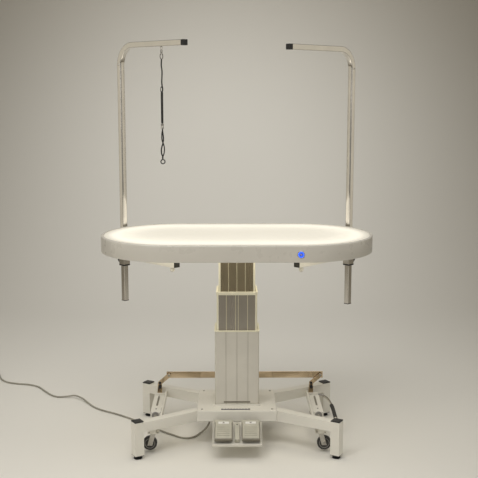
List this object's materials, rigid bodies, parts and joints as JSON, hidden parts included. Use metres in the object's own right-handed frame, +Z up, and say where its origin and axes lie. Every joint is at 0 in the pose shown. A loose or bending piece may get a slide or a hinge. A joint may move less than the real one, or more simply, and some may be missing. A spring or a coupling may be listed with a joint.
{
  "type": "grooming table",
  "caption": "Electric pet grooming table with a lit oval top on a telescopic lifting column, overhead arms, hanging noose, caster base and foot switch.",
  "frame": {"origin": "on the floor, below the middle of the tabletop", "axes": "+Z up, +X to the right along the tabletop's length, -Y towards the front with the foot switch and power button"},
  "size_m": [2.1248, 1.4023, 1.778],
  "materials": {
    "white_paint": "semi-gloss cream powder coat",
    "panel_acrylic": "lit translucent acrylic",
    "satin_metal": "satin anodised",
    "chrome": "polished",
    "black_plastic": "moulded matt",
    "grey_plastic": "moulded matt",
    "wheel_rubber": "satin tread",
    "button_blue": "lit gloss",
    "cord_sheath": "matt PVC sheath",
    "noose_cord": "braided nylon"
  },
  "bodies": {
    "base": {"base_box": "white_paint", "base_cover": "white_paint", "lift_motor": "black_plastic", "lift_spindle": "chrome", "column_outer": "satin_metal", "trim_outer": "white_paint", "pedal_tray": "white_paint", "pedal_divider": "grey_plastic", "cord_gland": "black_plastic", "mains_cord": "cord_sheath", "mains_coil": "cord_sheath", "mains_plug": "black_plastic", "leg_front_left": "white_paint", "leg_front_right": "white_paint", "leg_rear_left": "white_paint", "leg_rear_right": "white_paint", "side_rail_left": "white_paint", "side_rail_right": "white_paint"},
    "middle_stage": {"column_middle": "satin_metal", "trim_middle": "white_paint"},
    "table": {"column_inner": "satin_metal", "table_rim": "white_paint", "table_panel": "panel_acrylic", "bed_plate": "white_paint", "top_frame": "white_paint", "button_bezel": "chrome", "bar_sleeve_left": "white_paint", "bar_sleeve_right": "white_paint"},
    "power_button": {"power_button": "button_blue"},
    "noose": {"noose_clip": "chrome", "noose_cord": "noose_cord", "noose_ring": "chrome"},
    "link_bar": {"link_bar": "chrome"},
    "crank_right": {"crank_right": "chrome", "lift_pedal_rod": "chrome"},
    "crank_left": {"crank_left": "chrome"},
    "holder_left": {"arm_holder_left": "chrome"},
    "arm_left": {"arm_left": "chrome"},
    "lock_knob_left": {"lock_knob_left": "white_paint"},
    "clamp_knob_left": {"clamp_knob_left": "black_plastic"},
    "caster_beam_left": {"caster_beam_left": "white_paint"},
    "holder_right": {"arm_holder_right": "chrome"},
    "arm_right": {"arm_right": "chrome"},
    "lock_knob_right": {"lock_knob_right": "white_paint"},
    "clamp_knob_right": {"clamp_knob_right": "black_plastic"},
    "caster_beam_right": {"caster_beam_right": "white_paint"},
    "caster_fork_front_left": {"caster_fork_front_left": "chrome"},
    "caster_wheel_front_left": {"caster_wheel_front_left": "wheel_rubber"},
    "foot_front_left": {"foot_front_left": "black_plastic"},
    "caster_fork_front_right": {"caster_fork_front_right": "chrome"},
    "caster_wheel_front_right": {"caster_wheel_front_right": "wheel_rubber"},
    "foot_front_right": {"foot_front_right": "black_plastic"},
    "caster_fork_rear_left": {"caster_fork_rear_left": "chrome"},
    "caster_wheel_rear_left": {"caster_wheel_rear_left": "wheel_rubber"},
    "foot_rear_left": {"foot_rear_left": "black_plastic"},
    "caster_fork_rear_right": {"caster_fork_rear_right": "chrome"},
    "caster_wheel_rear_right": {"caster_wheel_rear_right": "wheel_rubber"},
    "foot_rear_right": {"foot_rear_right": "black_plastic"},
    "pedal_left": {"pedal_left": "grey_plastic"},
    "pedal_right": {"pedal_right": "grey_plastic"}
  },
  "joints": [
    {"name": "lift_middle", "type": "slide", "parent": "base", "child": "middle_stage", "axis": [0, 0, 1], "range_m": [-0.145, 0.08]},
    {"name": "lift_inner", "type": "slide", "parent": "middle_stage", "child": "table", "axis": [0, 0, 1], "range_m": [-0.145, 0.08]},
    {"name": "button_press", "type": "slide", "parent": "table", "child": "power_button", "axis": [0, 1, 0], "range_m": [0, 0.0015], "stiffness_N_per_m": 300, "springref_m": -0.001},
    {"name": "holder_left_slide", "type": "slide", "parent": "table", "child": "holder_left", "axis": [-0.7071, 0.7071, 0], "range_m": [-0.02, 0.08]},
    {"name": "arm_left_height", "type": "slide", "parent": "holder_left", "child": "arm_left", "axis": [0, 0, 1], "range_m": [-0.25, 0.12]},
    {"name": "lock_knob_left_turn", "type": "hinge", "parent": "table", "child": "lock_knob_left", "pos_m": [-0.28917, 0.02217, 0.769], "axis": [0, 0, 1], "continuous": true},
    {"name": "clamp_knob_left_turn", "type": "hinge", "parent": "holder_left", "child": "clamp_knob_left", "pos_m": [-0.54394, 0.27694, 0.768], "axis": [-0.7071, 0.7071, 0], "continuous": true},
    {"name": "holder_right_slide", "type": "slide", "parent": "table", "child": "holder_right", "axis": [0.7071, 0.7071, 0], "range_m": [-0.02, 0.08]},
    {"name": "arm_right_height", "type": "slide", "parent": "holder_right", "child": "arm_right", "axis": [0, 0, 1], "range_m": [-0.25, 0.12]},
    {"name": "lock_knob_right_turn", "type": "hinge", "parent": "table", "child": "lock_knob_right", "pos_m": [0.28917, 0.02217, 0.769], "axis": [0, 0, 1], "continuous": true},
    {"name": "clamp_knob_right_turn", "type": "hinge", "parent": "holder_right", "child": "clamp_knob_right", "pos_m": [0.54394, 0.27694, 0.768], "axis": [0.7071, 0.7071, 0], "continuous": true},
    {"name": "noose_swing", "type": "hinge", "parent": "arm_left", "child": "noose", "pos_m": [-0.32877, 0.06177, 1.7377], "axis": [-0.7071, 0.7071, 0], "range_deg": [-60, 60]},
    {"name": "crank_right_turn", "type": "hinge", "parent": "base", "child": "crank_right", "pos_m": [0.352, 0.178, 0.13], "axis": [0, 1, 0], "range_deg": [0, 24]},
    {"name": "crank_left_turn", "type": "hinge", "parent": "base", "child": "crank_left", "pos_m": [-0.366, 0.178, 0.13], "axis": [0, 1, 0], "range_deg": [0, 24]},
    {"name": "link_bar_level", "type": "hinge", "parent": "crank_right", "child": "link_bar", "pos_m": [0.397, 0.1865, 0.2295], "axis": [0, 1, 0], "range_deg": [-24, 0]},
    {"name": "caster_beam_left_drop", "type": "slide", "parent": "base", "child": "caster_beam_left", "axis": [0, 0, 1], "range_m": [-0.0181, 0]},
    {"name": "caster_beam_right_drop", "type": "slide", "parent": "base", "child": "caster_beam_right", "axis": [0, 0, 1], "range_m": [-0.0181, 0]},
    {"name": "swivel_front_left", "type": "hinge", "parent": "caster_beam_left", "child": "caster_fork_front_left", "pos_m": [-0.365, -0.196, 0.08], "axis": [0, 0, 1], "continuous": true},
    {"name": "wheel_front_left_spin", "type": "hinge", "parent": "caster_fork_front_left", "child": "caster_wheel_front_left", "pos_m": [-0.381, -0.196, 0.041], "axis": [0, 1, 0], "continuous": true},
    {"name": "foot_front_left_turn", "type": "hinge", "parent": "base", "child": "foot_front_left", "pos_m": [-0.427, -0.27, 0], "axis": [0, 0, 1], "continuous": true},
    {"name": "swivel_front_right", "type": "hinge", "parent": "caster_beam_right", "child": "caster_fork_front_right", "pos_m": [0.365, -0.196, 0.08], "axis": [0, 0, 1], "continuous": true},
    {"name": "wheel_front_right_spin", "type": "hinge", "parent": "caster_fork_front_right", "child": "caster_wheel_front_right", "pos_m": [0.381, -0.196, 0.041], "axis": [0, 1, 0], "continuous": true},
    {"name": "foot_front_right_turn", "type": "hinge", "parent": "base", "child": "foot_front_right", "pos_m": [0.427, -0.27, 0], "axis": [0, 0, 1], "continuous": true},
    {"name": "swivel_rear_left", "type": "hinge", "parent": "caster_beam_left", "child": "caster_fork_rear_left", "pos_m": [-0.365, 0.196, 0.08], "axis": [0, 0, 1], "continuous": true},
    {"name": "wheel_rear_left_spin", "type": "hinge", "parent": "caster_fork_rear_left", "child": "caster_wheel_rear_left", "pos_m": [-0.381, 0.196, 0.041], "axis": [0, 1, 0], "continuous": true},
    {"name": "foot_rear_left_turn", "type": "hinge", "parent": "base", "child": "foot_rear_left", "pos_m": [-0.427, 0.27, 0], "axis": [0, 0, 1], "continuous": true},
    {"name": "swivel_rear_right", "type": "hinge", "parent": "caster_beam_right", "child": "caster_fork_rear_right", "pos_m": [0.365, 0.196, 0.08], "axis": [0, 0, 1], "continuous": true},
    {"name": "wheel_rear_right_spin", "type": "hinge", "parent": "caster_fork_rear_right", "child": "caster_wheel_rear_right", "pos_m": [0.381, 0.196, 0.041], "axis": [0, 1, 0], "continuous": true},
    {"name": "foot_rear_right_turn", "type": "hinge", "parent": "base", "child": "foot_rear_right", "pos_m": [0.427, 0.27, 0], "axis": [0, 0, 1], "continuous": true},
    {"name": "pedal_left_press", "type": "hinge", "parent": "base", "child": "pedal_left", "pos_m": [-0.059, -0.18556, 0.12856], "axis": [1, 0, 0], "range_deg": [0, 4], "stiffness_Nm_per_rad": 8, "springref_deg": -2.86},
    {"name": "pedal_right_press", "type": "hinge", "parent": "base", "child": "pedal_right", "pos_m": [0.059, -0.18556, 0.12856], "axis": [1, 0, 0], "range_deg": [0, 4], "stiffness_Nm_per_rad": 8, "springref_deg": -2.86}
  ],
  "couplings": [
    {"joint": "lift_inner", "follows": "lift_middle", "ratio": 1},
    {"joint": "crank_left_turn", "follows": "crank_right_turn", "ratio": 1},
    {"joint": "link_bar_level", "follows": "crank_right_turn", "ratio": -1},
    {"joint": "caster_beam_left_drop", "follows": "crank_right_turn", "m_per_rad": -0.042972},
    {"joint": "caster_beam_right_drop", "follows": "crank_right_turn", "m_per_rad": -0.042972}
  ]
}
